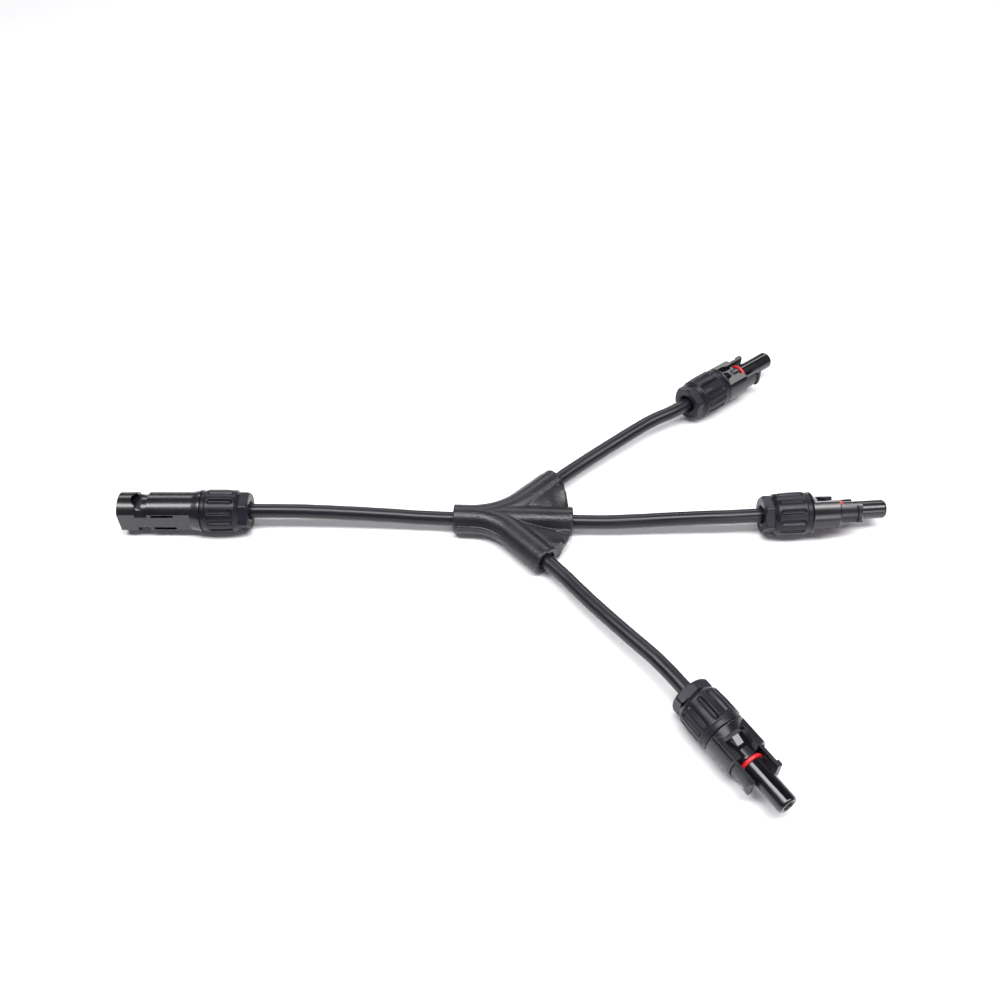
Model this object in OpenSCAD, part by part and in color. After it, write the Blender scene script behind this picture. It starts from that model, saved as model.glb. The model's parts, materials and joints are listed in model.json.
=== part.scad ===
// Solar cable connector: a branch lead with one shell connector, a moulded
// three-way branch and three plug connectors. The lead lies on a flat surface
// at z = 0. +X runs along the lead from the shell connector to the plugs.

/* [Cable] */
// Outside diameter of the insulated cable
cable_d = 6.4; // [6:0.1:6.6]
// Diameter of the bare copper conductor
conductor_d = 3; // [2.4:0.1:3.1]

/* [Gland nut] */
// Largest diameter of the gland nut, which is what rests on the surface
nut_d = 19.2; // [19:0.1:20]
// Distance across the flats of the nut's hexagonal end
nut_hex = 15.4; // [14.6:0.1:16]
// Number of grip grooves around the nut
grooves = 12; // [8:1:16]
// Pitch of the gland thread
thread_pitch = 2; // [1.5:0.25:2.5]

/* [Plug connector] */
// Diameter of the probe that enters the mating shell
probe_d = 8.3; // [7.8:0.1:8.3]
// Diameter across the round cheeks of the housing
barrel_d = 18.6; // [17:0.1:19]
// Distance between the flat top and bottom of the housing
barrel_flats = 11.8; // [11:0.1:13]
// Height of a latch finger
finger_h = 7.8; // [6:0.1:8]

/* [Shell connector] */
// Distance across the two domed sides
shell_domes = 17.2; // [17:0.1:17.6]
// Distance across the two flat sides
shell_flats = 14; // [13:0.1:15]
// Length of the latch windows along the connector
window_l = 5.3; // [4:0.1:6]

/* [Contacts] */
// Diameter of the pin contact
pin_d = 4; // [3.6:0.1:4]
// Bore of the socket contact
socket_bore = 4.1; // [4.1:0.05:4.2]

/* [Branch] */
// Diameter of the moulded tubes of the branch
branch_d = 13; // [12:0.1:13.2]
// Diameter of the short rims at the mouths of the branch
rim_d = 13.4; // [13.3:0.1:14]
// Thickness of the webs between the moulded tubes
web_t = 10; // [6:0.1:10.5]

/* [Hidden] */

$fn = 64;
eps = 0.02;

// The four legs of the lead
TRUNK = 0;
UPPER = 1;
MIDDLE = 2;
LOWER = 3;

// Height of the branch's axis and of the connectors' axes
branch_z = rim_d / 2;
conn_z = nut_d / 2;

// Back end of each gland nut, where the cable enters: [x, y]
conn_at = [[-112.2, 18.6], [90, 88], [114.5, 16], [71.5, -75]];
// Way each connector points, and its roll about its own axis
conn_heading = [180, 36.87, 4, -57];
conn_roll = [90, 0, -38, 0];
// Mouth of each branch tube, and the way its cable leaves
mouth_at = [[-22, 16.5], [24.2, 38.9], [31, 14.7], [18.8, -7.7]];
mouth_heading = [178, 43, -2, -47];

// Routes of the cables, from just inside the branch's mouth to the back of the nut
routes = [
    [[-19, 16.4, 6.7], [-26, 16.6, 6.7], [-32.3, 16.9, 6.8], [-38.7, 17.2, 6.9], [-45, 17.5, 7.2],
     [-51.4, 17.8, 7.5], [-57.7, 18, 7.8], [-64.1, 18.2, 8.2], [-70.4, 18.3, 8.5], [-76.8, 18.5, 8.8],
     [-83.1, 18.5, 9.1], [-89.5, 18.6, 9.4], [-95.8, 18.6, 9.5], [-102.2, 18.6, 9.6], [-112.2, 18.6, 9.6]],
    [[22, 36.9, 6.7], [27.1, 41.6, 6.7], [31.6, 45.6, 6.8], [36.2, 49.5, 6.9], [40.9, 53.3, 7.2],
     [45.7, 57, 7.5], [50.4, 60.7, 7.8], [55.2, 64.3, 8.2], [60, 68, 8.5], [64.8, 71.6, 8.8],
     [69.7, 75.1, 9.1], [74.8, 78.3, 9.4], [80.1, 81.2, 9.5], [85.2, 84.4, 9.6], [90, 88, 9.6]],
    [[28, 14.8, 6.7], [35, 14.6, 6.7], [40.8, 14.4, 6.8], [46.6, 14.3, 6.9], [52.4, 14.3, 7.2],
     [58.2, 14.4, 7.5], [64, 14.5, 7.8], [69.8, 14.6, 8.2], [75.6, 14.7, 8.5], [81.4, 14.8, 8.8],
     [87.1, 14.9, 9.1], [92.9, 14.9, 9.4], [98.7, 15, 9.5], [104.5, 15.3, 9.6], [114.5, 16, 9.6]],
    [[16.8, -5.5, 6.7], [21.5, -10.6, 6.7], [25.5, -15.3, 6.8], [29.2, -20.1, 6.9], [32.9, -25.1, 7.2],
     [36.6, -30, 7.5], [40.4, -34.8, 7.8], [44.2, -39.6, 8.2], [48.1, -44.3, 8.5], [52, -49, 8.8],
     [56, -53.7, 9.1], [59.9, -58.4, 9.4], [63.6, -63.3, 9.5], [67.1, -68.3, 9.6], [71.5, -75, 9.6]],
];
// Length of insulation inside the branch, and inside the connector past the nut's back
jacket_in_branch = 8;
jacket_in_conn = 18.5;
cable_sides = 10;

// Stations along a connector, measured from the back end of its nut
hex_end = 4.1;
nut_grip_start = 6;
nut_grip_end = 18.4;
nut_end = 20.7;
cage_start = 3.4;
cage_end = 12;
spigot_start = 9;
flange_start = 21;
seat = 30;              // where the contact's collar stops
shoulder = 33.5;        // front of the plug housing's cheeks
finger_end = 43.4;
plug_end = 55.5;
shell_end = 57.2;

// Radii along the connector's axis
cable_bore = cable_d / 2 + 0.55;
cage_r = 5.65;
spigot_bore = 6;
thread_r = 7.2;
thread_root = 6.9;
nut_cavity = 7.5;
collar_r = 3.3;
collar_bore = 3.4;
contact_r = 2.93;
contact_bore = 2.95;
barrel_r = barrel_d / 2;
probe_r = probe_d / 2;

// O-ring and its groove on the root of the probe
ring_tube = 0.8;
ring_r = 4.4;
ring_x = 35.5;
groove_half = 0.95;

// Latch finger: inner face, outer face and hook from the plug's axis, and its root and hook along it
finger_in = 5.5;
finger_out = 7.9;
hook_out = 8.6;
finger_root = 31.8;
hook_x = 41;

// Splice inside the branch: a round block that the four conductors enter, stopping short
// of its middle
splice_at = [7.5, 15.6];
splice_r = 6.4;
splice_h = 4.8;
splice_core = 3.3;

// ---- shared helpers ----

function along(a) = [cos(a), sin(a)];
function flat3(p, z) = [p[0], p[1], z];
function unit(v) = v / norm(v);

// A cylinder on the X axis from x0 to x1
module rod_x(x0, x1, r) {
    translate([x0, 0, 0]) rotate([0, 90, 0]) cylinder(h = x1 - x0, r = r);
}

// A turned shape on the X axis: each point is [radius, x]
module turned(points) {
    rotate([0, 90, 0]) rotate_extrude() polygon(points);
}

// A cylinder between two points
module rod(a, b, r) {
    v = b - a;
    translate(a)
        rotate([0, acos(v[2] / norm(v)), atan2(v[1], v[0])])
            cylinder(h = norm(v), r = r, $fn = 32);
}

// A box centred in Y and Z, from x0 to x1
module slab(x0, x1, y, z) {
    translate([x0, -y / 2, -z / 2]) cube([x1 - x0, y, z]);
}

// Puts a connector drawn along +X from its nut's back end onto leg c
module place(c) {
    translate(flat3(conn_at[c], conn_z)) rotate([conn_roll[c], 0, conn_heading[c]]) children();
}

// ---- cables and copper ----

// Direction of a route at point i, from its neighbours
function tangent(p, i) = unit(p[min(i + 1, len(p) - 1)] - p[max(i - 1, 0)]);

// One ring of a cable around point i
function ring(p, i, r) =
    let (t = tangent(p, i), side = unit(cross([0, 0, 1], t)), up = cross(t, side))
    [for (k = [0:cable_sides - 1])
        p[i] + r * (side * cos(360 * k / cable_sides) + up * sin(360 * k / cable_sides))];

// A round tube swept along the points p
module swept(p, r) {
    n = len(p);
    m = cable_sides;
    sides = [for (i = [0:n - 2], k = [0:m - 1])
        [i * m + k, i * m + (k + 1) % m, (i + 1) * m + (k + 1) % m, (i + 1) * m + k]];
    start = [for (k = [m - 1:-1:0]) k];
    end = [for (k = [0:m - 1]) (n - 1) * m + k];
    rings = [for (i = [0:n - 1]) each ring(p, i, r)];
    polyhedron(rings, [for (f = concat([start], sides, [end])) [for (k = [len(f) - 1:-1:0]) f[k]]]);
}

// Inner end of the insulation of leg c, inside the branch
function jacket_end(c) = flat3(
    [routes[c][0][0], routes[c][0][1]] - jacket_in_branch * along(mouth_heading[c]), branch_z);

module cable(c) {
    last = routes[c][len(routes[c]) - 1];
    tail = last + jacket_in_conn * flat3(along(conn_heading[c]), 0);
    color("#1b1c20") swept(concat([jacket_end(c)], routes[c], [tail]), cable_d / 2);
}

// Straight bare end of conductor c, from the splice to l short of the insulation
module conductor_end(c, r, l) {
    centre = flat3(splice_at, branch_z);
    dir = unit(jacket_end(c) - centre);
    rod(centre + splice_core * dir, jacket_end(c) - l * dir, r);
}

// Both bare ends of one conductor: in the branch and in the contact's barrel
module conductor(c) {
    short = [0.1, 0.6, 0.1, 0.8][c];
    color("#c9b29a") {
        conductor_end(c, conductor_d / 2, short);
        place(c) rod_x(jacket_in_conn, 26.5, conductor_d / 2);
    }
}

// ---- branch ----

// A moulded tube with a thin parting rib above mid height, from l behind the mouth of leg c
// up to the mouth. The outer tubes are a little slimmer than the trunk.
module moulded_tube(c, l, d) {
    rib_w = 0.5;
    rib_t = 1.1 - (branch_d - d) / 2;
    rib_z = 2;
    translate(flat3(mouth_at[c], branch_z)) rotate([0, 0, mouth_heading[c]]) {
        rod_x(-l, 0, d / 2);
        translate([0, 0, rib_z]) slab(-l, -0.2, d + rib_w, rib_t);
    }
}

// A short rim at the mouth of leg c, with a softened front edge
module rim(c) {
    rim_l = 2.2;
    translate(flat3(mouth_at[c], branch_z)) rotate([0, 0, mouth_heading[c]])
        turned([[0, -rim_l], [rim_d / 2, -rim_l], [rim_d / 2, -0.6], [rim_d / 2 - 0.6, 0], [0, 0]]);
}

// Point on the axis of leg c, a distance back behind its mouth
function behind_mouth(c, back) = mouth_at[c] - back * along(mouth_heading[c]);
// How far behind its mouth an outer tube meets the trunk's axis, and the middle tube starts
reach_middle = 42;
function reach(c) = abs((mouth_at[c][1] - splice_at[1]) / sin(mouth_heading[c]));

// Points of a round bulge of radius r from point a to point b, to the left (side = 1) or
// right (side = -1) of the way from a to b
function bulge(a, b, r, side) =
    let (mid = (a + b) / 2, half = norm(b - a) / 2, dir = unit(b - a), out = side * [-dir[1], dir[0]],
         centre = mid - out * sqrt(r * r - half * half), spread = asin(half / r))
    [for (k = [0:8]) let (t = spread * (k / 4 - 1)) centre + r * (out * cos(t) + dir * sin(t))];

// The webs: one flat plate between the tubes, with a hollow curve from the trunk to each outer
// tube and a round bulge between the mouths
module web() {
    back = 5;
    low = behind_mouth(LOWER, back);
    mid = behind_mouth(MIDDLE, back);
    high = behind_mouth(UPPER, back);
    apart = [0, 2];
    trunk_low = behind_mouth(TRUNK, 6) - [0, branch_d / 2 - 1];
    trunk_high = behind_mouth(TRUNK, 6) + [0, branch_d / 2 - 1];
    side_low = behind_mouth(LOWER, 15) + (branch_d / 2 - 1) * along(mouth_heading[LOWER] - 90);
    side_high = behind_mouth(UPPER, 15) + (branch_d / 2 - 1) * along(mouth_heading[UPPER] + 90);
    curve_low = bulge(side_low, trunk_low, 32, -1);
    curve_high = bulge(trunk_high, side_high, 32, -1);
    translate([0, 0, branch_z - web_t / 2]) linear_extrude(web_t)
        polygon(concat(curve_high, bulge(high, mid + apart, 12, 1), bulge(mid - apart, low, 12, 1),
                       curve_low));
}

module branch_moulding() {
    color("#202124") difference() {
        union() {
            moulded_tube(TRUNK, 24, branch_d);
            moulded_tube(MIDDLE, reach_middle, branch_d - 0.6);
            for (c = [UPPER, LOWER]) moulded_tube(c, reach(c), branch_d - 0.3);
            for (c = [TRUNK:LOWER]) rim(c);
            web();
        }
        for (c = [TRUNK:LOWER]) {
            rod(jacket_end(c), flat3(mouth_at[c] + along(mouth_heading[c]), branch_z), cable_d / 2 + eps);
            conductor_end(c, conductor_d / 2 + eps, 0);
        }
        splice(eps);
    }
}

module splice(grow) {
    translate(flat3(splice_at, branch_z))
        cylinder(h = splice_h + 2 * grow, r = splice_r + grow, center = true);
}

module splice_block() {
    color("#b9bcc0") difference() {
        splice(0);
        for (c = [TRUNK:LOWER]) conductor_end(c, conductor_d / 2 + eps, 1);
    }
}

// ---- gland: seal, cage and nut ----

module cable_seal(c) {
    rib = 0.35;
    body_r = 4.4;
    color("#3c3d3f") place(c) difference() {
        union() {
            rod_x(7, 19, body_r);
            for (x = [8, 10.5, 13, 15.5, 18]) rod_x(x - 0.5, x + 0.5, body_r + rib);
        }
        rod_x(6, 20, cable_d / 2);
    }
}

// A cage whose fingers press on the seal when the nut is tightened
module clamp_cage(c) {
    slots = 4;
    color("#4a4b4d") place(c) difference() {
        turned([[cable_d / 2 + 0.35, cage_start], [4.2, cage_start], [cage_r - 0.05, 5.4], [cage_r, 6],
                [cage_r, cage_end], [5.05, cage_end], [5.05, 5.8], [cable_d / 2 + 0.35, 5.8]]);
        for (k = [0:slots - 1]) rotate([180 * k / slots, 0, 0]) slab(6.4, cage_end + 1, 14, 0.9);
    }
}

// A long round-bottomed groove with round ends
module grip_groove() {
    cutter_r = 1.5;
    depth = 0.8;
    inset = 1.8;
    translate([0, 0, nut_d / 2 + cutter_r - depth]) {
        rod_x(nut_grip_start + inset, nut_grip_end - inset, cutter_r);
        for (x = [nut_grip_start + inset, nut_grip_end - inset]) translate([x, 0, 0]) sphere(cutter_r);
    }
}

module gland_nut(c) {
    nut_r = nut_d / 2;
    hex_corner = nut_hex / 2 / cos(30);
    color("#2a2b31") place(c) difference() {
        union() {
            intersection() {
                rotate([0, 90, 0]) cylinder(h = hex_end + 1, r = hex_corner, $fn = 6);
                turned([[0, 0], [hex_corner - 1.1, 0], [hex_corner, 1], [hex_corner, 9], [0, 9]]);
            }
            turned([[0, hex_end - 0.6], [nut_r - 2.2, hex_end - 0.6], [nut_r - 0.3, nut_grip_start],
                    [nut_r, nut_grip_end], [nut_r - 0.35, nut_grip_end + 0.3],
                    [nut_r - 0.35, nut_end - 0.4], [nut_r - 0.75, nut_end], [0, nut_end]]);
        }
        turned([[0, -1], [cable_bore + 0.9, -1], [cable_bore, 0.9], [cable_bore, 2.4], [6.1, 5.5],
                [6.1, 8], [nut_cavity, 8], [nut_cavity, nut_end + 1], [0, nut_end + 1]]);
        for (k = [0:grooves - 1]) rotate([360 * (k + 0.5) / grooves, 0, 0]) grip_groove();
    }
}

// The threaded spigot that the nut turns on, the same on every housing
module spigot() {
    rod_x(spigot_start, flange_start + 1, thread_root);
    for (x = [spigot_start + 1.2:thread_pitch:flange_start - 1])
        turned([[0, x - 0.7], [thread_root, x - 0.7], [thread_r, x - 0.25], [thread_r, x + 0.25],
                [thread_root, x + 0.7], [0, x + 0.7]]);
}

// The stepped bore that takes the seal and the contact, up to x1
module contact_bores(x1) {
    rod_x(spigot_start - 1, 20, spigot_bore);
    rod_x(19.9, seat, collar_bore);
    rod_x(seat - 0.1, x1, contact_bore);
}

// The crimped back half of either contact, with the collar that stops it
module crimp_barrel() {
    difference() {
        union() {
            intersection() {
                rod_x(19.3, 28, 2.3);
                rotate([0, 90, 0]) cylinder(h = 29, r = 2.45, $fn = 6);
            }
            rod_x(27, seat, 2.3);
            rod_x(28.6, seat, collar_r);
        }
        rod_x(19, 26.8, conductor_d / 2 + eps);
    }
}

// ---- shell connector ----

// Across the domes it is a cylinder, cut flat on two sides
module shell_section(x0, x1) {
    intersection() {
        rod_x(x0, x1, shell_domes / 2);
        slab(x0 - 1, x1 + 1, 30, shell_flats);
    }
}

module shell_body() {
    flange_r = nut_d / 2 - 0.2;
    shell_section(flange_start, shell_end);
    intersection() {
        turned([[0, flange_start], [flange_r, flange_start], [flange_r, flange_start + 0.6],
                [shell_domes / 2, flange_start + 4.4], [0, flange_start + 4.4]]);
        slab(flange_start - 1, flange_start + 5, 30, nut_d);
    }
}

module shell_housing() {
    window_x1 = shell_end - 7.7;
    window_x0 = window_x1 - window_l;
    window_floor = 5.6;
    channel_in = 5.3;
    band_r = 7.5;
    slot_x = window_x1 - 2.6;
    channel_end = slot_x;
    slot_y = 3.9;
    slot_depth = 1.2;
    probe_bore = 4.3;
    color("#17181a") place(TRUNK) difference() {
        union() {
            spigot();
            shell_body();
        }
        contact_bores(36.5);
        // room for the mating probe, and the gland its O-ring seals in
        rod_x(36, shell_end + 1, probe_bore);
        turned([[0, shell_end - 3.5], [4.9, shell_end - 3.5], [4.9, shell_end - 0.5],
                [5.2, shell_end + 0.1], [0, shell_end + 0.1]]);
        // shallow band across both domes, behind the collar
        difference() {
            rod_x(window_x0, window_x1, 12);
            rod_x(window_x0 - 1, window_x1 + 1, band_r);
        }
        for (s = [-1, 1]) {
            // channel for a latch finger
            intersection() {
                rod_x(channel_end, shell_end + 1, finger_out + 0.1);
                translate([channel_end, s > 0 ? channel_in : -channel_in - 5, -finger_h / 2 - 0.15])
                    cube([20, 5, finger_h + 0.3]);
            }
            // window in the band, with a round front edge, that its hook catches in
            intersection() {
                translate([slot_x, s > 0 ? window_floor : -window_floor - 5, 0])
                    rotate([-90, 0, 0]) cylinder(h = 5, r = 4.6);
                translate([slot_x, -10, -10]) cube([10, 20, 20]);
            }
            // long grooves in the flats, beside the domes
            for (t = [-1, 1]) translate([32.6, s * slot_y - 0.75, t > 0 ? shell_flats / 2 - slot_depth : -9.4])
                cube([9.8, 1.5, 9.4 - shell_flats / 2 + slot_depth]);
        }
    }
}

module pin_contact() {
    tip = 50;
    color("#c8cace") place(TRUNK) {
        crimp_barrel();
        rod_x(seat - 0.5, 35.5, contact_r);
        rod_x(35, tip, pin_d / 2);
        translate([tip, 0, 0]) sphere(pin_d / 2);
    }
}

// ---- plug connector ----

module plug_barrel() {
    intersection() {
        turned([[0, flange_start], [barrel_r - 0.4, flange_start], [barrel_r, flange_start + 0.4],
                [barrel_r, shoulder - 0.7], [barrel_r - 0.7, shoulder], [0, shoulder]]);
        union() {
            slab(flange_start - 1, shoulder + 1, 30, barrel_flats);
            turned([[0, flange_start - 1], [barrel_r, flange_start - 1], [barrel_r, flange_start + 0.7],
                    [5, flange_start + 5.2], [0, flange_start + 5.2]]);
        }
    }
}

// A sunk panel in the flat top or bottom, with a small ramp on its floor
module panel_outline() {
    rear = flange_start + 3.2;
    half = [[rear, 5], [27.5, 5], [30.5, 4], [shoulder + 1, 4]];
    polygon(concat(half, [for (i = [len(half) - 1:-1:0]) [half[i][0], -half[i][1]]]));
}

module panel_pocket(side) {
    floor_z = 4.1;
    ramp_x0 = 25.4;
    ramp_x1 = 29;
    ramp_w = 3;
    mirror([0, 0, side > 0 ? 0 : 1]) difference() {
        translate([0, 0, floor_z]) linear_extrude(6) panel_outline();
        rotate([90, 0, 0]) linear_extrude(ramp_w, center = true)
            polygon([[ramp_x0, floor_z - 1], [ramp_x0, 5.75], [ramp_x1, 4.3], [ramp_x1, floor_z - 1]]);
    }
}

module plug_probe() {
    turned([[0, shoulder - 3], [4.5, shoulder - 3], [4.5, ring_x - groove_half - 0.2],
            [4.2, ring_x - groove_half], [ring_r - ring_tube, ring_x - groove_half],
            [ring_r - ring_tube, ring_x + groove_half], [probe_r, ring_x + groove_half],
            [probe_r, plug_end - 1], [probe_r - 0.5, plug_end], [0, plug_end]]);
}

module plug_housing(c) {
    gap = 0.3;
    pocket_x = finger_root - 1.6;
    color("#121316") place(c) difference() {
        union() {
            spigot();
            difference() {
                plug_barrel();
                for (side = [-1, 1]) panel_pocket(side);
            }
            plug_probe();
        }
        contact_bores(53.8);
        rod_x(53, plug_end + 1, 2.3);
        turned([[0, plug_end - 0.5], [2.3, plug_end - 0.5], [2.8, plug_end + 0.1], [0, plug_end + 0.1]]);
        // pockets that the latch fingers bend in
        for (s = [-1, 1]) intersection() {
            rod_x(pocket_x, shoulder + 1, finger_out + gap);
            translate([pocket_x, s > 0 ? finger_in - gap : gap - finger_in - 5, -finger_h / 2 - gap])
                cube([5, 5, finger_h + 2 * gap]);
        }
    }
}

// Outline of a latch finger in front of its root, seen along its height
module finger_outline() {
    polygon([[finger_root, finger_in], [finger_root, finger_out], [hook_x, finger_out],
             [hook_x + 0.2, hook_out], [hook_x + 1.2, hook_out], [finger_end, 7.2],
             [finger_end - 0.3, finger_in]]);
}

// A latch finger on the left (side = 1) or right (side = -1) of the probe, with a round root
// that it bends about
module latch_finger(c, side) {
    root_r = (finger_out - finger_in) / 2 + 0.05;
    color("#17181b") place(c) mirror([0, side > 0 ? 0 : 1, 0]) difference() {
        intersection() {
            translate([0, 0, -finger_h / 2]) union() {
                linear_extrude(finger_h) finger_outline();
                translate([finger_root, (finger_in + finger_out) / 2, 0])
                    cylinder(h = finger_h, r = root_r);
            }
            union() {
                rod_x(finger_root - 2, hook_x, finger_out);
                rod_x(hook_x - 0.1, finger_end + 1, hook_out);
            }
        }
        rod_x(shoulder - 0.5, 37.8, ring_r + ring_tube + 0.5);
    }
}

module socket_contact(c) {
    front = 53.8;
    bore_start = 36;
    color("#c8cace") place(c) difference() {
        union() {
            crimp_barrel();
            rod_x(seat - 0.5, front, contact_r);
        }
        rod_x(bore_start, front + 1, socket_bore / 2);
        rod_x(42, 48, 2.45);
    }
}

// A louvred spring band in the recess of the socket's bore
module contact_band(c) {
    slots = 6;
    color("#d9c27a") place(c) difference() {
        rod_x(42.1, 47.9, 2.42);
        rod_x(41, 49, socket_bore / 2);
        for (k = [0:slots - 1]) rotate([180 * k / slots, 0, 0]) slab(43.2, 46.8, 8, 0.5);
    }
}

module o_ring(c) {
    color("#c8202c") place(c) translate([ring_x, 0, 0]) rotate([0, 90, 0]) rotate_extrude()
        translate([ring_r, 0]) circle(ring_tube, $fn = 32);
}

// ---- what is drawn ----

branch_moulding();
splice_block();
conductor(TRUNK);  // conductor_trunk
conductor(UPPER);  // conductor_upper
conductor(MIDDLE);  // conductor_middle
conductor(LOWER);  // conductor_lower
cable(TRUNK);  // cable_trunk
cable(UPPER);  // cable_upper
cable(MIDDLE);  // cable_middle
cable(LOWER);  // cable_lower
shell_housing();
pin_contact();
plug_housing(UPPER);  // plug_housing_upper
plug_housing(MIDDLE);  // plug_housing_middle
plug_housing(LOWER);  // plug_housing_lower
socket_contact(UPPER);  // socket_contact_upper
socket_contact(MIDDLE);  // socket_contact_middle
socket_contact(LOWER);  // socket_contact_lower
contact_band(UPPER);  // contact_band_upper
contact_band(MIDDLE);  // contact_band_middle
contact_band(LOWER);  // contact_band_lower
o_ring(UPPER);  // o_ring_upper
o_ring(MIDDLE);  // o_ring_middle
o_ring(LOWER);  // o_ring_lower
cable_seal(TRUNK);  // cable_seal_trunk
cable_seal(UPPER);  // cable_seal_upper
cable_seal(MIDDLE);  // cable_seal_middle
cable_seal(LOWER);  // cable_seal_lower
clamp_cage(TRUNK);  // clamp_cage_trunk
clamp_cage(UPPER);  // clamp_cage_upper
clamp_cage(MIDDLE);  // clamp_cage_middle
clamp_cage(LOWER);  // clamp_cage_lower
gland_nut(TRUNK);  // gland_nut_trunk
gland_nut(UPPER);  // gland_nut_upper
gland_nut(MIDDLE);  // gland_nut_middle
gland_nut(LOWER);  // gland_nut_lower
latch_finger(UPPER, 1);  // latch_left_upper
latch_finger(UPPER, -1);  // latch_right_upper
latch_finger(MIDDLE, 1);  // latch_left_middle
latch_finger(MIDDLE, -1);  // latch_right_middle
latch_finger(LOWER, 1);  // latch_left_lower
latch_finger(LOWER, -1);  // latch_right_lower
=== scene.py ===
"""Looks for the solar cable connector: a one-to-three branch lead on a pale floor.

Everything is in metres in the CAD frame. MM turns the millimetre sizes below into metres.
A connector's own frame has x = 0 at the back of its gland nut and +X along the connector.
"""
import json
import math

import bmesh
import bpy
from mathutils import Matrix, Vector


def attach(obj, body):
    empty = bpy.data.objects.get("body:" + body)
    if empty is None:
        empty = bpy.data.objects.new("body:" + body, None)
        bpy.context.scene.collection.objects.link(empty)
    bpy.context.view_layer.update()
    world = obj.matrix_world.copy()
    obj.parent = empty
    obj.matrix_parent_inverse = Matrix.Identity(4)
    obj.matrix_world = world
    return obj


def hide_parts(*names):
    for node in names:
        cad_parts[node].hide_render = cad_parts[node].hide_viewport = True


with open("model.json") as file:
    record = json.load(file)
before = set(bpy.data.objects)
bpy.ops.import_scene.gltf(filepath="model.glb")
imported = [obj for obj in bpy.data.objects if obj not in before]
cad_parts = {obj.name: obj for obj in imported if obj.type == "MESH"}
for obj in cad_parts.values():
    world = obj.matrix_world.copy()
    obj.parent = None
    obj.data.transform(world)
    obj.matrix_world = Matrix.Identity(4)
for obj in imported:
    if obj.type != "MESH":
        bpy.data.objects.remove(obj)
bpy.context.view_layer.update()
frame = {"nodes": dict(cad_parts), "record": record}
MM = 0.001
LEGS = ("trunk", "upper", "middle", "lower")
PLUGS = LEGS[1:]

# ---- cables: the routes of the CAD model, in millimetres ----

CABLE_D = 6.4
ROUTES = {
    "trunk": [
        (-19, 16.4, 6.7), (-26, 16.6, 6.7), (-32.3, 16.9, 6.8), (-38.7, 17.2, 6.9), (-45, 17.5, 7.2),
        (-51.4, 17.8, 7.5), (-57.7, 18, 7.8), (-64.1, 18.2, 8.2), (-70.4, 18.3, 8.5), (-76.8, 18.5, 8.8),
        (-83.1, 18.5, 9.1), (-89.5, 18.6, 9.4), (-95.8, 18.6, 9.5), (-102.2, 18.6, 9.6), (-112.2, 18.6, 9.6)],
    "upper": [
        (22, 36.9, 6.7), (27.1, 41.6, 6.7), (31.6, 45.6, 6.8), (36.2, 49.5, 6.9), (40.9, 53.3, 7.2),
        (45.7, 57, 7.5), (50.4, 60.7, 7.8), (55.2, 64.3, 8.2), (60, 68, 8.5), (64.8, 71.6, 8.8),
        (69.7, 75.1, 9.1), (74.8, 78.3, 9.4), (80.1, 81.2, 9.5), (85.2, 84.4, 9.6), (90, 88, 9.6)],
    "middle": [
        (28, 14.8, 6.7), (35, 14.6, 6.7), (40.8, 14.4, 6.8), (46.6, 14.3, 6.9), (52.4, 14.3, 7.2),
        (58.2, 14.4, 7.5), (64, 14.5, 7.8), (69.8, 14.6, 8.2), (75.6, 14.7, 8.5), (81.4, 14.8, 8.8),
        (87.1, 14.9, 9.1), (92.9, 14.9, 9.4), (98.7, 15, 9.5), (104.5, 15.3, 9.6), (114.5, 16, 9.6)],
    "lower": [
        (16.8, -5.5, 6.7), (21.5, -10.6, 6.7), (25.5, -15.3, 6.8), (29.2, -20.1, 6.9), (32.9, -25.1, 7.2),
        (36.6, -30, 7.5), (40.4, -34.8, 7.8), (44.2, -39.6, 8.2), (48.1, -44.3, 8.5), (52, -49, 8.8),
        (56, -53.7, 9.1), (59.9, -58.4, 9.4), (63.6, -63.3, 9.5), (67.1, -68.3, 9.6), (71.5, -75, 9.6)],
}
# Mouths of the branch and the way each cable leaves
MOUTHS = {"trunk": ((-22, 16.5), 178), "upper": ((24.2, 38.9), 43),
          "middle": ((31, 14.7), -2), "lower": ((18.8, -7.7), -47)}
BRANCH_Z = 6.7
# The way each connector points, and the insulation's length inside the branch and the connector
HEADINGS = {"trunk": 180, "upper": 36.87, "middle": 4, "lower": -57}
IN_BRANCH = 8
IN_CONNECTOR = 18.5

# Edges sharper than this stay sharp on a smooth-shaded mesh, in degrees
SHARP_ANGLE = 48


def collection_link(ob):
    """Puts an object in the scene and returns it."""
    bpy.context.scene.collection.objects.link(ob)
    return ob


def mesh_object(name, verts, faces):
    """A smooth-shaded mesh object from points in metres."""
    mesh = bpy.data.meshes.new(name)
    mesh.from_pydata([tuple(v) for v in verts], [], faces)
    mesh.validate()
    bm = bmesh.new()
    bm.from_mesh(mesh)
    bmesh.ops.remove_doubles(bm, verts=bm.verts, dist=1e-7)
    bmesh.ops.recalc_face_normals(bm, faces=bm.faces)
    bm.to_mesh(mesh)
    bm.free()
    for poly in mesh.polygons:
        poly.use_smooth = True
    return collection_link(bpy.data.objects.new(name, mesh))


def flat_direction(degrees):
    """The level unit vector at an angle from +X, and the one to its left."""
    angle = math.radians(degrees)
    along = Vector((math.cos(angle), math.sin(angle), 0))
    return along, Vector((-along.y, along.x, 0))


def tube_faces(rings, sides):
    """Faces of a closed tube whose vertices go ring by ring, with a cap at each end."""
    faces = []
    for i in range(rings - 1):
        for k in range(sides):
            k2 = (k + 1) % sides
            faces.append((i * sides + k, i * sides + k2, (i + 1) * sides + k2, (i + 1) * sides + k))
    last = (rings - 1) * sides
    return faces + [tuple(range(sides)), tuple(range(last, last + sides))]


# ---- the camera ----

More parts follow.
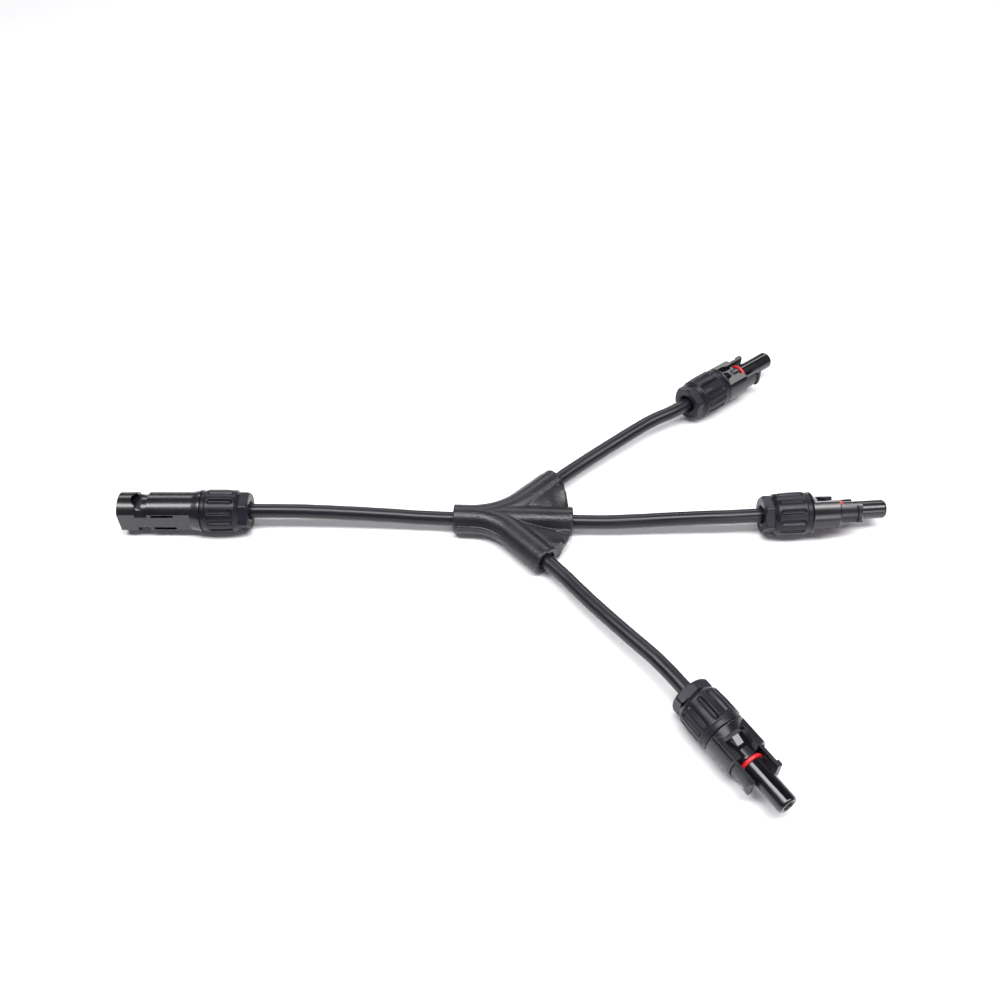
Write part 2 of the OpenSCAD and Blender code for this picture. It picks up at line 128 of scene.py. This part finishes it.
CAMERA_AT = (-1.3, -290, 362)
CAMERA_PITCH = 48.2
SENSOR_WIDTH = 36
# Focal length over sensor width
FOCAL = 1.051


def make_camera():
    """The camera that looks down at the lead from the front."""
    data = bpy.data.cameras.new("camera")
    data.sensor_width = SENSOR_WIDTH
    data.lens = SENSOR_WIDTH * FOCAL
    data.clip_start = 0.01
    cam = collection_link(bpy.data.objects.new("camera", data))
    cam.location = [v * MM for v in CAMERA_AT]
    cam.rotation_euler = (math.radians(90 - CAMERA_PITCH), 0, 0)
    bpy.context.scene.camera = cam


make_camera()

# ---- materials ----


class Nodes:
    """A small helper that builds a node tree by name."""

    def __init__(self, name):
        self.mat = bpy.data.materials.new(name)
        self.mat.use_nodes = True
        self.tree = self.mat.node_tree
        self.tree.nodes.clear()
        self.out = self.tree.nodes.new("ShaderNodeOutputMaterial")
        self.bsdf = self.tree.nodes.new("ShaderNodeBsdfPrincipled")
        self.link(self.bsdf, "BSDF", self.out, "Surface")
        self.coords = self.tree.nodes.new("ShaderNodeTexCoord")

    def link(self, a, out, b, inp):
        """Joins output out of node a to input inp of node b."""
        self.tree.links.new(a.outputs[out], b.inputs[inp])

    def add(self, kind, **values):
        """A new node, with values set on its inputs or, failing that, on its properties."""
        node = self.tree.nodes.new(kind)
        for key, value in values.items():
            if key in node.inputs:
                node.inputs[key].default_value = value
            else:
                setattr(node, key, value)
        return node

    def noise(self, scale, detail=3, rough=0.5):
        """Noise in object space; scale is in features per metre."""
        node = self.add("ShaderNodeTexNoise", Scale=scale, Detail=detail, Roughness=rough)
        self.link(self.coords, "Object", node, "Vector")
        return node

    def ramp(self, noise, low, high):
        """Spreads the middle of a noise's range over low to high."""
        node = self.add("ShaderNodeMapRange")
        node.inputs["From Min"].default_value = 0.3
        node.inputs["From Max"].default_value = 0.7
        node.inputs["To Min"].default_value = low
        node.inputs["To Max"].default_value = high
        self.link(noise, "Fac", node, "Value")
        return node

    def colours(self, noise, low, high):
        """The base colour drifts between two colours with a noise."""
        factor = self.ramp(noise, 0, 1)
        mix = self.add("ShaderNodeMix", data_type="RGBA")
        mix.inputs[6].default_value = (*low, 1)
        mix.inputs[7].default_value = (*high, 1)
        self.link(factor, "Result", mix, "Factor")
        self.tree.links.new(mix.outputs[2], self.bsdf.inputs["Base Color"])

    def roughness(self, noise, low, high):
        """The roughness drifts between two values with a noise."""
        self.link(self.ramp(noise, low, high), "Result", self.bsdf, "Roughness")

    def bump(self, *layers):
        """Bump layers, one over the other, each a (node, output, depth in mm)."""
        last = None
        for a, out, depth in layers:
            node = self.add("ShaderNodeBump", Strength=1.0, Distance=depth * MM)
            self.link(a, out, node, "Height")
            if last:
                self.link(last, "Normal", node, "Normal")
            last = node
        self.link(last, "Normal", self.bsdf, "Normal")


def plastic(name, dark, light, rough, grain, grain_depth, coat=0.0, shine=0.5, tint=(1, 1, 1)):
    """Moulded plastic: slow colour drift, uneven gloss, fine grain and faint flow waves."""
    m = Nodes(name)
    drift = m.noise(90, 4)
    fine = m.noise(grain, 2, 0.6)
    wave = m.noise(220, 2)
    m.colours(drift, dark, light)
    m.roughness(drift, *rough)
    m.bump((wave, "Fac", 0.006), (fine, "Fac", grain_depth))
    m.bsdf.inputs["IOR"].default_value = 1.5
    m.bsdf.inputs["Specular IOR Level"].default_value = shine
    m.bsdf.inputs["Specular Tint"].default_value = (*tint, 1)
    if coat:
        m.bsdf.inputs["Coat Weight"].default_value = coat
        m.bsdf.inputs["Coat Roughness"].default_value = 0.12
    return m.mat


def rubber_cable():
    """Cross-linked insulation: satin, with a fine grain."""
    m = Nodes("cable_insulation")
    drift = m.noise(60, 4)
    fine = m.noise(3800, 2, 0.6)
    m.colours(drift, (0.006, 0.006, 0.009), (0.011, 0.010, 0.016))
    m.roughness(drift, 0.27, 0.38)
    m.bsdf.inputs["Specular IOR Level"].default_value = 0.4
    m.bump((fine, "Fac", 0.01))
    return m.mat


def pebbled_rubber():
    """Overmoulded elastomer with a soft pebble grain."""
    m = Nodes("branch_elastomer")
    drift = m.noise(70, 4)
    pebble = m.add("ShaderNodeTexVoronoi", Scale=1100.0)
    m.link(m.coords, "Object", pebble, "Vector")
    fine = m.noise(2600, 3, 0.6)
    m.colours(drift, (0.008, 0.008, 0.010), (0.015, 0.014, 0.018))
    m.roughness(drift, 0.3, 0.4)
    m.bsdf.inputs["Specular IOR Level"].default_value = 0.4
    m.bump((pebble, "Distance", 0.06), (fine, "Fac", 0.03))
    return m.mat


def metal(name, base, other, rough):
    """Turned or drawn metal with a faint grain."""
    m = Nodes(name)
    drift = m.noise(300, 3)
    turned = m.noise(2500, 2, 0.6)
    m.colours(drift, base, other)
    m.roughness(drift, *rough)
    m.bump((turned, "Fac", 0.004))
    m.bsdf.inputs["Metallic"].default_value = 1.0
    return m.mat


def silicone(name, dark, light, rough):
    """Soft moulded rubber that lets a little light in."""
    m = Nodes(name)
    drift = m.noise(200, 3)
    fine = m.noise(3000, 2)
    m.colours(drift, dark, light)
    m.roughness(drift, *rough)
    m.bump((fine, "Fac", 0.008))
    m.bsdf.inputs["Subsurface Weight"].default_value = 0.1
    m.bsdf.inputs["Subsurface Radius"].default_value = (0.001, 0.0003, 0.0003)
    return m.mat


MATERIALS = {
    "branch": pebbled_rubber(),
    "cable": rubber_cable(),
    "housing": plastic("housing_plastic", (0.005, 0.005, 0.007), (0.009, 0.009, 0.012),
                       rough=(0.25, 0.30), grain=3000, grain_depth=0.005, coat=0.2),
    "panel": plastic("polished_panel", (0.003, 0.003, 0.004), (0.005, 0.005, 0.007),
                     rough=(0.05, 0.08), grain=1500, grain_depth=0.002, shine=0.4),
    "latch": plastic("latch_plastic", (0.006, 0.006, 0.009), (0.010, 0.010, 0.014),
                     rough=(0.28, 0.34), grain=3000, grain_depth=0.006, coat=0.1, shine=0.4),
    "nut": plastic("nut_plastic", (0.006, 0.0055, 0.009), (0.012, 0.011, 0.017),
                   rough=(0.3, 0.42), grain=2600, grain_depth=0.02, shine=0.28, tint=(0.97, 0.94, 1.0)),
    "cage": plastic("cage_plastic", (0.045, 0.045, 0.048), (0.06, 0.06, 0.062),
                    rough=(0.4, 0.5), grain=2600, grain_depth=0.01),
    "seal": silicone("seal_silicone", (0.025, 0.025, 0.026), (0.04, 0.04, 0.042), (0.5, 0.6)),
    "o_ring": silicone("o_ring_silicone", (0.46, 0.006, 0.012), (0.6, 0.014, 0.022), (0.28, 0.38)),
    "tinned": metal("tin_plate", (0.66, 0.67, 0.68), (0.78, 0.78, 0.78), (0.24, 0.36)),
    "copper": metal("tinned_strands", (0.70, 0.58, 0.48), (0.78, 0.68, 0.58), (0.3, 0.42)),
    "band": metal("spring_band", (0.72, 0.58, 0.32), (0.80, 0.66, 0.40), (0.22, 0.34)),
}

# Width of the softened moulded edges
EDGE_WIDTH = 0.22


def dress_cad_nodes():
    """Every CAD node gets its slot's material and softened moulded edges."""
    flat_angle, edge_angle = 0.5, 32
    slots = {row["node"]: row["material_slot"] for row in frame["record"]["subparts"]}
    for name, ob in frame["nodes"].items():
        ob.data.materials.clear()
        ob.data.materials.append(MATERIALS[slots[name]])
        weld = ob.modifiers.new("weld", "WELD")
        weld.merge_threshold = 1e-6
        flat = ob.modifiers.new("flat", "DECIMATE")
        flat.decimate_type = "DISSOLVE"
        flat.angle_limit = math.radians(flat_angle)
        bevel = ob.modifiers.new("bevel", "BEVEL")
        bevel.width = EDGE_WIDTH * MM
        bevel.segments = 2
        bevel.limit_method = "ANGLE"
        bevel.angle_limit = math.radians(edge_angle)
        normals = ob.modifiers.new("normals", "WEIGHTED_NORMAL")
        normals.keep_sharp = False


dress_cad_nodes()

# ---- cables ----


def make_cable(leg):
    """The free cable of one leg: a smooth curve through the route's points."""
    steps = 6
    curve = bpy.data.curves.new("cable_" + leg + "_curve", "CURVE")
    curve.dimensions = "3D"
    curve.bevel_depth = CABLE_D / 2 * MM
    curve.bevel_resolution = 8
    curve.use_fill_caps = True
    spline = curve.splines.new("BEZIER")
    points = [Vector(p) * MM for p in ROUTES[leg]]
    spline.bezier_points.add(len(points) - 1)
    for i, (bez, p) in enumerate(zip(spline.bezier_points, points)):
        before = points[max(i - 1, 0)]
        after = points[min(i + 1, len(points) - 1)]
        tangent = (after - before).normalized()
        bez.co = p
        bez.handle_left_type = bez.handle_right_type = "FREE"
        bez.handle_left = p - tangent * (p - before).length / 3
        bez.handle_right = p + tangent * (after - p).length / 3
    spline.resolution_u = steps
    ob = collection_link(bpy.data.objects.new("insulation_" + leg, curve))
    ob.data.materials.append(MATERIALS["cable"])
    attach(ob, "root")
    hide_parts("cable_" + leg)


def make_cable_ends(leg, sides=40):
    """The insulation's two hidden ends: inside the branch, and through the nut and seal."""
    lap, radius = 0.4, CABLE_D / 2 - 0.01
    ends = (("branch", ROUTES[leg][0], MOUTHS[leg][1] + 180, IN_BRANCH),
            ("connector", ROUTES[leg][-1], HEADINGS[leg], IN_CONNECTOR))
    for place, at, heading, length in ends:
        along, across = flat_direction(heading)
        verts = []
        for ring in (Vector(at) - along * lap, Vector(at) + along * length):
            for k in range(sides):
                t = 2 * math.pi * k / sides
                verts.append((ring + (across * math.cos(t) + Vector((0, 0, math.sin(t)))) * radius) * MM)
        ob = mesh_object("insulation_in_" + place + "_" + leg, verts, tube_faces(2, sides))
        ob.data.set_sharp_from_angle(angle=math.radians(SHARP_ANGLE))
        ob.data.materials.append(MATERIALS["cable"])
        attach(ob, "root")


for leg in LEGS:
    make_cable(leg)
    make_cable_ends(leg)

# ---- connector frames, read from the joints ----

# Distance from the nut's back end to the point that its joint names
NUT_PIVOT = 10


def connector_frames():
    """For each leg, the matrix from a connector's own frame (metres) to the row frame."""
    joints = {j["name"]: j for j in frame["record"]["behaviour"]["joints"]}
    out = {}
    for leg in LEGS:
        turn = joints["nut_turn_" + leg]
        x = -Vector(turn["axis"]).normalized()
        origin = Vector(turn["pos_m"]) - x * NUT_PIVOT * MM
        flex = joints.get("latch_flex_left_" + leg)
        side = Vector(flex["pos_m"]) - origin if flex else Vector((0, 0, 1))
        y = (side - x * side.dot(x)).normalized()
        z = x.cross(y)
        m = Matrix((x, y, z)).transposed().to_4x4()
        m.translation = origin
        out[leg] = m
    return out


FRAMES = connector_frames()


def polish_panels():
    """The floor of the sunk panels in each plug housing, and the ramp on it, are polished."""
    floor_z, tol = 4.1, 0.15
    ramp_x, ramp_y, ramp_z = (25.5, 28.9), 1.6, (4.2, 5.8)
    for leg in PLUGS:
        ob = frame["nodes"]["plug_housing_" + leg]
        back = FRAMES[leg].inverted() @ ob.matrix_world
        turn = back.to_3x3()
        ob.data.materials.append(MATERIALS["panel"])
        for poly in ob.data.polygons:
            x, y, z = (abs(v) / MM for v in back @ poly.center)
            tilt = abs((turn @ poly.normal).z)
            on_floor = abs(z - floor_z) < tol and tilt > 0.95
            on_ramp = (ramp_x[0] < x < ramp_x[1] and y < ramp_y and ramp_z[0] < z < ramp_z[1]
                       and 0.8 < tilt < 0.98)
            if on_floor or on_ramp:
                poly.material_index = 1


polish_panels()

# ---- gland nuts ----

GROOVES = 12
GRIP_R = 9.6
# The grip narrows by this much towards the back, over a length that ends at TAPER_END
GRIP_TAPER = 0.3
TAPER_END, TAPER_LENGTH = 6, 6
GRIP_START, GRIP_END = 6.1, 18.15
GROOVE_START, GROOVE_END = 6.3, 18.1
GROOVE_HALF = 1.5
GROOVE_DEPTH = 0.95
HEX_FLAT = 7.7
# Where the hexagon meets the round shoulder, no point is nearer the axis than this
SHOULDER_R = 7.6
# Outlines of the nut as (x, radius), from the front face to the back and out through the bore
FRONT_RIM = [(20.93, 7.5), (20.93, 8.8), (20.88, 8.95), (20.7, 9.08), (20.4, 9.15), (18.95, 9.17),
             (18.8, 9.2), (18.7, 9.3), (18.6, 9.45), (18.45, 9.55), (18.25, 9.6)]
SHOULDER = [(5.95, 9.26), (5.7, 9.1), (5.4, 8.86), (4.9, 8.45), (4.5, 8.13), (4.3, 7.98)]
SHOULDER_FOOT = [(4.15, 7.8), (4.1, 7.75)]
HEX_END = [(4.02, 8.9), (3.4, 8.9), (2.6, 8.9), (1.8, 8.9), (1.35, 8.85), (1.1, 8.78), (0.75, 8.6),
           (0.4, 8.3), (0.15, 8.0), (0.03, 7.75), (0.0, 7.5)]
BORE = [(0.0, 6.4), (0.0, 4.9), (0.06, 4.7), (0.25, 4.5), (1.0, 3.85), (1.3, 3.76), (2.4, 3.76),
        (5.5, 6.1), (8.0, 6.1), (8.0, 7.5)]


def smooth_step(a, b, t):
    """0 before a, 1 after b and an S-curve between them."""
    t = min(max((t - a) / (b - a), 0.0), 1.0)
    return t * t * (3 - 2 * t)


def hex_radius(theta):
    """Radius of the hexagonal end, with slightly rounded corners."""
    blunt, fade = 0.22, 0.1
    step = math.radians(60)
    off = (theta + step / 2) % step - step / 2
    corner = HEX_FLAT / math.cos(step / 2)
    return min(HEX_FLAT / math.cos(off), corner - blunt - fade * (1 - abs(off) / (step / 2)))


def groove_depth(x, theta):
    """How deep the grip grooves are cut: long slots with round ends, floors and rims."""
    flat_floor = 0.35
    step = 2 * math.pi / GROOVES
    off = ((theta / step) % 1 - 0.5) * step * GRIP_R
    beyond = max(GROOVE_START + GROOVE_HALF - x, 0, x - (GROOVE_END - GROOVE_HALF))
    return GROOVE_DEPTH * (1 - smooth_step(flat_floor, GROOVE_HALF, math.hypot(off, beyond)))


def nut_profile(grip_steps=56):
    """(x, radius, kind) along the nut's outline; kind says how the radius varies around the axis."""
    grip = []
    for i in range(grip_steps + 1):
        x = GRIP_END - (GRIP_END - GRIP_START) * i / grip_steps
        taper = GRIP_TAPER * smooth_step(0, 1, (TAPER_END + TAPER_LENGTH - x) / TAPER_LENGTH)
        grip.append((x, GRIP_R - taper))
    stretches = ((FRONT_RIM, "round"), (grip, "groove"), (SHOULDER, "round"), (SHOULDER_FOOT, "foot"),
                 (HEX_END, "hex"), (BORE, "round"))
    return [(x, r, kind) for points, kind in stretches for x, r in points]


def nut_radius(x, r, kind, theta):
    """The radius at one angle of a point of the outline."""
    if kind == "groove":
        return r - groove_depth(x, theta)
    if kind == "hex":
        return min(r, hex_radius(theta))
    if kind == "foot":
        return max(min(r, hex_radius(theta)), SHOULDER_R)
    return r


def make_nut(leg, count=24 * GROOVES):
    """A gland nut with grip grooves and a hexagonal end, turned around the connector's axis."""
    profile = nut_profile()
    n = len(profile)
    verts, faces = [], []
    for k in range(count):
        theta = 2 * math.pi * k / count
        for x, r, kind in profile:
            radius = nut_radius(x, r, kind, theta)
            at = Vector((x, radius * math.cos(theta), radius * math.sin(theta)))
            verts.append(FRAMES[leg] @ (at * MM))
    for k in range(count):
        k2 = (k + 1) % count
        for i in range(n):
            j = (i + 1) % n
            faces.append((k * n + i, k * n + j, k2 * n + j, k2 * n + i))
    ob = mesh_object("grip_nut_" + leg, verts, faces)
    ob.data.set_sharp_from_angle(angle=math.radians(SHARP_ANGLE))
    ob.data.materials.append(MATERIALS["nut"])
    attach(ob, "nut_" + leg)
    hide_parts("gland_nut_" + leg)


for leg in LEGS:
    make_nut(leg)

# ---- the branch ----

OUTER_LEGS = ("upper", "lower")
TUBE_R = 6.5
RIM_R = 6.52
# The tubes stop this far behind the mouths, inside the round rims
TUBE_BACK = 1.8
# Where the outer legs start to leave the trunk's line
SPLIT = (-14.0, 16.2)
# Half thickness of a web along its outer leg and along the middle one
WEB_HIGH = 5.1
WEB_LOW = 1.2
# Distance from the middle leg over which a web stays thin
WEB_FOOT = {"upper": 0.0, "lower": 4.5}
# Radius of the webs' round ends, and how far behind the mouths they meet the legs
WEB_END = {"upper": 13.5, "lower": 13.2}
WEB_BACK = 4.5
WEB_MIDDLE_BACK = {"upper": 4.5, "lower": 3.0}
# Under the parting line, this height over the legs' axis, the tubes are wider by the ledge
LEDGE = 0.42
LEDGE_Z = 2.0
# Radius of the rods along the outer legs' ledges and along the foot of the middle leg
LEDGE_ROD_R = 0.5
FOOT_ROD_R = 0.8
VOXEL = 0.26


def between(a, b, steps):
    """Points of a straight line from a to b."""
    return [(a[0] + (b[0] - a[0]) * i / steps, a[1] + (b[1] - a[1]) * i / steps)
            for i in range(steps + 1)]


def mouth_point(leg, back, across=0.0):
    """A point behind a leg's mouth, and across to the left of the leg."""
    (x, y), heading = MOUTHS[leg]
    h = math.radians(heading)
    return (x - back * math.cos(h) - across * math.sin(h), y - back * math.sin(h) + across * math.cos(h))


def ring_tube(points, radius, sides=40, ledge=0.0, rise=0.0):
    """Vertices and faces of a closed tube through points in the XY plane, rise mm over the branch's
    height. Under the parting line the tube is wider by the ledge on each side."""
    verts = []
    n = len(points)
    for i, p in enumerate(points):
        a, b = points[max(i - 1, 0)], points[min(i + 1, n - 1)]
        along = Vector((b[0] - a[0], b[1] - a[1], 0)).normalized()
        across = Vector((-along.y, along.x, 0))
        for k in range(sides):
            t = 2 * math.pi * (k + 0.5) / sides
            up = radius * math.sin(t)
            wide = radius + (ledge if up < LEDGE_Z else 0)
            verts.append((Vector((p[0], p[1], BRANCH_Z + rise + up)) + across * wide * math.cos(t)) * MM)
    return verts, tube_faces(n, sides)


def mouth_ring(leg, sides=48):
    """The round end of one leg: a short rim with a recess around the cable."""
    profile = [(-2.6, RIM_R), (-0.55, RIM_R), (-0.15, RIM_R - 0.14), (0, RIM_R - 0.5), (0, 4.9),
               (-0.3, 4.5), (-1.5, 4.3)]
    along, across = flat_direction(MOUTHS[leg][1])
    at = Vector((*MOUTHS[leg][0], BRANCH_Z))
    verts = []
    for x, r in profile:
        for k in range(sides):
            t = 2 * math.pi * k / sides
            verts.append((at + along * x + across * r * math.cos(t) + Vector((0, 0, r * math.sin(t)))) * MM)
    return verts, tube_faces(len(profile), sides)


def leg_line(leg, steps=36, straight_steps=10):
    """Centreline of an outer leg, from the trunk's mouth: straight, an arc, then straight to its mouth."""
    (mx, my), heading = MOUTHS[leg]
    turn = math.radians(abs(heading))
    side = 1 if heading > 0 else -1
    rise = abs(my - SPLIT[1])
    run = mx - SPLIT[0]
    radius = (run - rise / math.tan(turn)) / math.tan(turn / 2)
    line = [mouth_point("trunk", TUBE_BACK), SPLIT]
    for i in range(1, steps + 1):
        a = turn * i / steps
        line.append((SPLIT[0] + radius * math.sin(a), SPLIT[1] + side * radius * (1 - math.cos(a))))
    return line + between(line[-1], (mx, my), straight_steps)[1:-1] + [mouth_point(leg, TUBE_BACK)]


def ledge_line(leg, out):
    """A line beside an outer leg's centreline, a distance out from it on its outer side."""
    line = leg_line(leg)
    side = 1 if leg == "upper" else -1
    points = []
    for i, p in enumerate(line):
        a, b = line[max(i - 1, 0)], line[min(i + 1, len(line) - 1)]
        d = math.hypot(b[0] - a[0], b[1] - a[1])
        points.append((p[0] - side * (b[1] - a[1]) / d * out, p[1] + side * (b[0] - a[0]) / d * out))
    return points


def bulge(a, b, radius, steps=14):
    """Points of a round bulge from a to b, to the left of the way from a to b."""
    a, b = Vector(a), Vector(b)
    mid, half = (a + b) / 2, (b - a).length / 2
    way = (b - a).normalized()
    out = Vector((-way.y, way.x))
    centre = mid - out * math.sqrt(radius ** 2 - half ** 2)
    spread = math.asin(half / radius)
    return [tuple(centre + radius * (out * math.cos(t) + way * math.sin(t)))
            for t in (spread * (2 * i / steps - 1) for i in range(steps + 1))]


def web_edges(leg, steps=30):
    """Points along the outer leg and, facing them, along the middle leg. The last pairs run out over
    the web's round end."""
    line = leg_line(leg)[2:-6]
    outer = [line[round(i * (len(line) - 1) / steps)] for i in range(steps + 1)]
    outer_end, middle_end = mouth_point(leg, WEB_BACK), mouth_point("middle", WEB_MIDDLE_BACK[leg])
    inner = between(SPLIT, middle_end, steps)
    if leg == "upper":
        arc = bulge(outer_end, middle_end, WEB_END[leg])
    else:
        arc = bulge(middle_end, outer_end, WEB_END[leg])[::-1]
    half = len(arc) // 2
    return outer + arc[:half], inner + arc[:half:-1]


def web(leg, rows=25):
    """Vertices and faces of the web beside the middle leg: thick along the outer leg, thin along
    the middle one."""
    outer, inner = web_edges(leg)
    n = len(outer)
    verts = []
    for s in (-1, 1):
        for p, q in zip(outer, inner):
            apart = math.hypot(p[0] - q[0], p[1] - q[1])
            for k, (x, y) in enumerate(between(p, q, rows - 1)):
                from_middle = apart * (1 - k / (rows - 1))
                climb = (from_middle - WEB_FOOT[leg]) / max(apart - WEB_FOOT[leg], 0.5)
                half = WEB_LOW + (WEB_HIGH - WEB_LOW) * smooth_step(0, 0.9, climb)
                verts.append(Vector((x, y, BRANCH_Z + s * half)) * MM)
    base = n * rows
    faces = []
    for layer in (0, base):
        for i in range(n - 1):
            for k in range(rows - 1):
                a = layer + i * rows + k
                faces.append((a, a + 1, a + rows + 1, a + rows))
    for i in range(n - 1):
        for k in (0, rows - 1):
            a = i * rows + k
            faces.append((a, a + rows, base + a + rows, base + a))
    for i in (0, n - 1):
        for k in range(rows - 1):
            a = i * rows + k
            faces.append((a, a + 1, base + a + 1, base + a))
    return verts, faces


def joined_shells(name, shells):
    """One object that holds several closed shells, each a pair of vertices and faces."""
    verts, faces = [], []
    for shell_verts, shell_faces in shells:
        base = len(verts)
        verts += shell_verts
        faces += [tuple(base + i for i in face) for face in shell_faces]
    mesh = bpy.data.meshes.new(name)
    mesh.from_pydata([tuple(v) for v in verts], [], faces)
    bm = bmesh.new()
    bm.from_mesh(mesh)
    bmesh.ops.recalc_face_normals(bm, faces=bm.faces)
    bm.to_mesh(mesh)
    bm.free()
    return collection_link(bpy.data.objects.new(name, mesh))


def bake_modifiers(ob):
    """Replaces an object's mesh with what its modifiers make of it."""
    graph = bpy.context.evaluated_depsgraph_get()
    mesh = bpy.data.meshes.new_from_object(ob.evaluated_get(graph))
    ob.modifiers.clear()
    old = ob.data
    ob.data = mesh
    bpy.data.meshes.remove(old)


def branch_shells():
    """The overlapping closed shells that make up the branch."""
    shells = []
    for leg in OUTER_LEGS:
        shells.append(ring_tube(leg_line(leg), TUBE_R, ledge=LEDGE))
        rod = ledge_line(leg, TUBE_R - 0.1)
        shells.append(ring_tube(rod, LEDGE_ROD_R, sides=12, rise=LEDGE_Z - 0.3))
    straight = between(mouth_point("trunk", TUBE_BACK), mouth_point("middle", TUBE_BACK), 20)
    shells.append(ring_tube(straight, TUBE_R - 0.05, ledge=LEDGE))
    for side in (-1, 1):
        rod = [mouth_point("middle", back, side * (TUBE_R + 0.15)) for back in (18, 1)]
        shells.append(ring_tube(rod, FOOT_ROD_R, sides=12, rise=WEB_LOW + 0.1))
    return shells + [mouth_ring(leg) for leg in LEGS] + [web(leg) for leg in OUTER_LEGS]


def make_branch():
    """The moulded branch: its shells merged by a voxel remesh and then smoothed."""
    body = joined_shells("branch_body", branch_shells())
    remesh = body.modifiers.new("remesh", "REMESH")
    remesh.mode = "VOXEL"
    remesh.voxel_size = VOXEL * MM
    smooth = body.modifiers.new("smooth", "SMOOTH")
    smooth.factor = 0.5
    smooth.iterations = 3
    bake_modifiers(body)
    for poly in body.data.polygons:
        poly.use_smooth = True
    body.data.materials.append(MATERIALS["branch"])
    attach(body, "root")
    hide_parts("branch_moulding")


make_branch()

# ---- floor and light ----


FLOOR_HALF = 3.0
# The floor lies just under the lead
FLOOR_Z = -0.0002


def make_stage():
    """The plain pale floor."""
    corners = [(x * FLOOR_HALF, y * FLOOR_HALF, FLOOR_Z) for x, y in ((-1, -1), (1, -1), (1, 1), (-1, 1))]
    floor = mesh_object("floor", corners, [(0, 1, 2, 3)])
    m = Nodes("floor_paper")
    m.colours(m.noise(8, 2), (0.86, 0.86, 0.87), (0.88, 0.88, 0.89))
    m.bsdf.inputs["Roughness"].default_value = 0.9
    floor.data.materials.append(m.mat)


def area_light(name, at, target, size, power, colour=(1, 1, 1)):
    """A soft rectangle of light aimed at target, or straight down without one."""
    data = bpy.data.lights.new(name, "AREA")
    data.shape = "RECTANGLE"
    data.size, data.size_y = size
    data.energy = power
    data.color = colour
    ob = collection_link(bpy.data.objects.new(name, data))
    ob.location = at
    if target:
        ob.rotation_euler = (Vector(target) - Vector(at)).to_track_quat("-Z", "Y").to_euler()


def make_light():
    """A dim, slightly cool world, a wide light overhead, one behind and a small one in front."""
    world = bpy.data.worlds.new("world")
    world.use_nodes = True
    back = world.node_tree.nodes["Background"]
    back.inputs["Color"].default_value = (0.93, 0.94, 1.0, 1)
    back.inputs["Strength"].default_value = 0.08
    bpy.context.scene.world = world
    area_light("key", (0.08, -0.11, 0.8), None, (1.45, 0.25), 16)
    area_light("back", (0.0, 1.0, 0.75), (0, 0.05, 0), (1.5, 0.3), 6.9)
    area_light("fill", (0.42, -0.7, 0.28), (0.08, -0.06, 0), (0.4, 0.25), 1.7, (0.92, 0.92, 1.0))
    bpy.context.scene.view_settings.view_transform = "Standard"


make_stage()
make_light()
